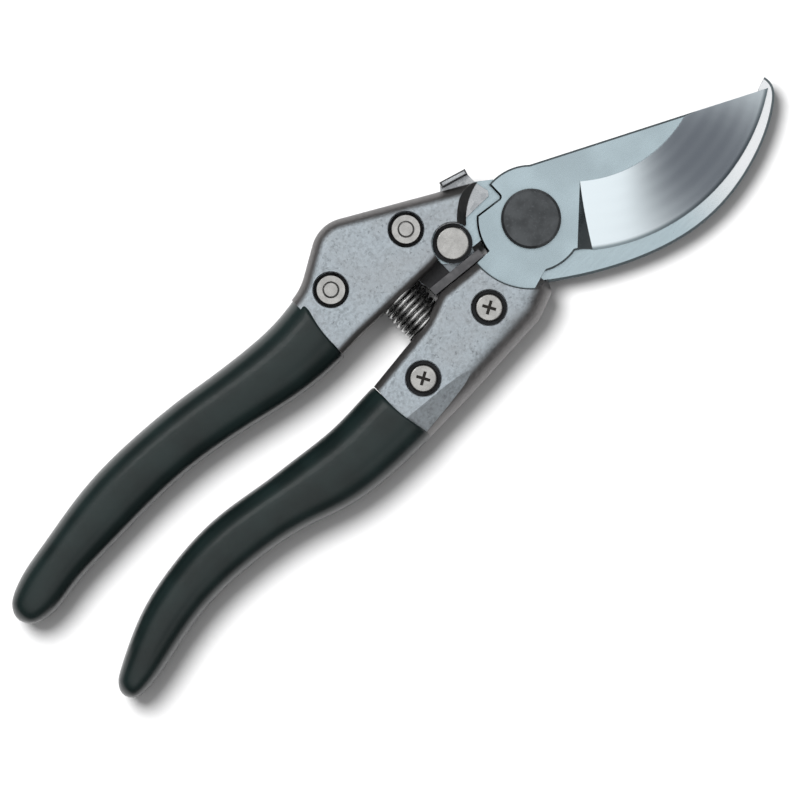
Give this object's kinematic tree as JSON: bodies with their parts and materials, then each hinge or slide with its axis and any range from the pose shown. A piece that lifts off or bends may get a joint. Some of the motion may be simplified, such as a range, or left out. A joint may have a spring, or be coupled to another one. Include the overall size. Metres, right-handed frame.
{
  "type": "pruning shears",
  "caption": "Bypass pruning shears with cast handles, dipped grips, a curved blade and hook, a coil return spring and a thumb latch, shown closed.",
  "frame": {"origin": "on the main pivot's axis, in the plane the closed tool lies on, which is the flat end of the pivot bolt and nut on the back", "axes": "+X from the pivot towards the jaws, midway between the closed handles; +Z out of the front, the side with the pivot bolt's head; +Y towards the hook's handle"},
  "size_m": [0.2207, 0.0622, 0.017],
  "materials": {
    "blade_steel": "satin hard chrome, with a bright dished grind",
    "counter_steel": "satin ground steel",
    "cast_alloy": "tumbled cast aluminium alloy, soft mottled grey",
    "grip_vinyl": "glossy dark green-black dipped vinyl",
    "nickel": "bright nickel plate",
    "black_oxide": "black oxide",
    "black_oxide_head": "satin black oxide",
    "spring_steel": "oiled spring wire",
    "shim_nylon": "plain nylon",
    "stop_rubber": "matt dark grey rubber",
    "bearing_bronze": "sintered bronze",
    "lever_steel": "zinc plated pressing"
  },
  "bodies": {
    "hook_side": {"counter_blade": "counter_steel", "hook_handle": "cast_alloy", "hook_grip": "grip_vinyl", "hook_bolts": "nickel", "hook_nuts": "nickel", "hook_washers": "black_oxide", "pivot_bolt": "black_oxide_head", "pivot_nut": "black_oxide", "pivot_lock_washer": "spring_steel", "pivot_spring_washer": "spring_steel", "thrust_shim": "shim_nylon", "latch_pin": "nickel", "latch_washer": "nickel", "latch_wave_washer": "spring_steel", "bumper": "stop_rubber", "return_spring": "spring_steel"},
    "blade_side": {"cutting_blade": "blade_steel", "blade_handle": "cast_alloy", "blade_grip": "grip_vinyl", "blade_screws": "nickel", "blade_nuts": "nickel", "blade_washers": "black_oxide", "pivot_bush": "bearing_bronze"},
    "latch": {"latch_lever": "lever_steel"}
  },
  "joints": [
    {"name": "jaw_hinge", "type": "hinge", "parent": "hook_side", "child": "blade_side", "pos_m": [0, 0, 0.0098], "axis": [0, 0, 1], "range_deg": [0, 28], "deforming": ["return_spring"]},
    {"name": "latch_hinge", "type": "hinge", "parent": "hook_side", "child": "latch", "pos_m": [-0.0177, 0.0087, 0.0095], "axis": [0, 0, 1], "range_deg": [0, 18]}
  ],
  "couplings": [
    {"joint": "latch_hinge", "follows": "jaw_hinge", "ratio": 0.64286}
  ]
}
